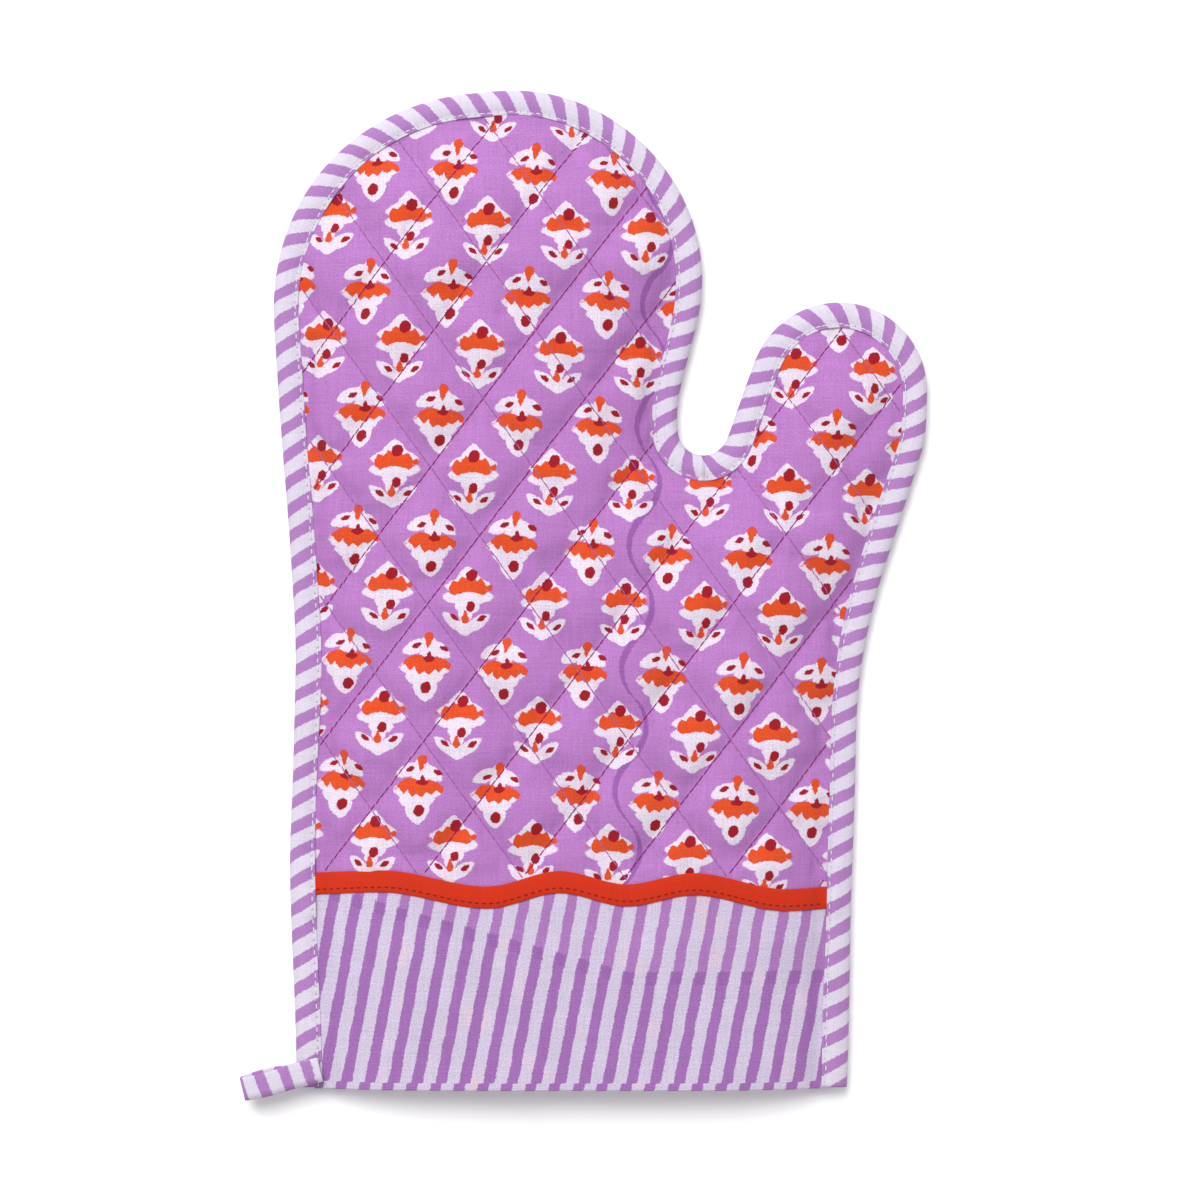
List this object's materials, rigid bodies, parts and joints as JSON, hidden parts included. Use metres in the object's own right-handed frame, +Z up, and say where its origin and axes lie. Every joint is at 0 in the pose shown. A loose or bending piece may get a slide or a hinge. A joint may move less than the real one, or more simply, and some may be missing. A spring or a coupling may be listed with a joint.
{
  "type": "oven mitt",
  "caption": "Quilted cotton oven mitt with a thumb, bias-bound edge, striped cuff band with a plain trim, and a fabric hanging loop.",
  "frame": {"origin": "middle of the underside of the whole mitt, hanging loop included, on the surface it lies on", "axes": "+Y from the hem towards the fingertips, +X towards the thumb, +Z up out of the palm side, which faces up"},
  "size_m": [0.2282, 0.3346, 0.0196],
  "materials": {
    "printed_cotton": "plain-weave cotton, purple ground block-printed in white, orange and red",
    "striped_cotton": "plain-weave cotton, purple and lavender-white stripes",
    "trim_cotton": "plain-weave cotton bias tape, orange-red",
    "lining_cotton": "plain undyed cotton",
    "cotton_wadding": "matt needled cotton wadding",
    "quilting_thread": "dark magenta spun thread",
    "pale_thread": "off-white spun thread",
    "orange_thread": "orange spun thread"
  },
  "bodies": {
    "palm": {"back_cuff_band": "striped_cotton", "back_hem_facing": "striped_cotton", "back_lining_palm": "lining_cotton", "back_print_palm": "printed_cotton", "back_quilting_palm": "quilting_thread", "back_trim": "trim_cotton", "back_wadding_palm": "cotton_wadding", "binding_heel": "striped_cotton", "binding_notch": "striped_cotton", "binding_side": "striped_cotton", "binding_topstitch_heel": "pale_thread", "binding_topstitch_notch": "pale_thread", "binding_topstitch_side": "pale_thread", "front_cuff_band": "striped_cotton", "front_hem_facing": "striped_cotton", "front_lining_palm": "lining_cotton", "front_print_palm": "printed_cotton", "front_quilting_palm": "quilting_thread", "front_trim": "trim_cotton", "front_wadding_palm": "cotton_wadding", "loop_tack_stitches": "pale_thread", "loop_tail": "striped_cotton", "trim_stitch": "orange_thread"},
    "fingers": {"back_lining_fingers": "lining_cotton", "back_print_fingers": "printed_cotton", "back_quilting_fingers": "quilting_thread", "back_wadding_fingers": "cotton_wadding", "binding_fingers": "striped_cotton", "binding_topstitch_fingers": "pale_thread", "front_lining_fingers": "lining_cotton", "front_print_fingers": "printed_cotton", "front_quilting_fingers": "quilting_thread", "front_wadding_fingers": "cotton_wadding"},
    "thumb": {"back_lining_thumb": "lining_cotton", "back_print_thumb": "printed_cotton", "back_quilting_thumb": "quilting_thread", "back_wadding_thumb": "cotton_wadding", "binding_thumb": "striped_cotton", "binding_topstitch_thumb": "pale_thread", "front_lining_thumb": "lining_cotton", "front_print_thumb": "printed_cotton", "front_quilting_thumb": "quilting_thread", "front_wadding_thumb": "cotton_wadding"},
    "hanging_loop": {"hanging_loop": "striped_cotton"}
  },
  "joints": [
    {"name": "finger_bend", "type": "hinge", "parent": "palm", "child": "fingers", "pos_m": [-0.03, 0.04912, 0.01977], "axis": [1, 0, 0], "range_deg": [0, 75]},
    {"name": "thumb_bend", "type": "hinge", "parent": "palm", "child": "thumb", "pos_m": [0.03973, 0.04602, 0.01977], "axis": [0.6652, -0.7466, 0], "range_deg": [0, 70]},
    {"name": "loop_swing", "type": "hinge", "parent": "palm", "child": "hanging_loop", "pos_m": [-0.09567, -0.15898, 0.01], "axis": [-0.2419, 0.9703, 0], "range_deg": [0, 110]}
  ]
}
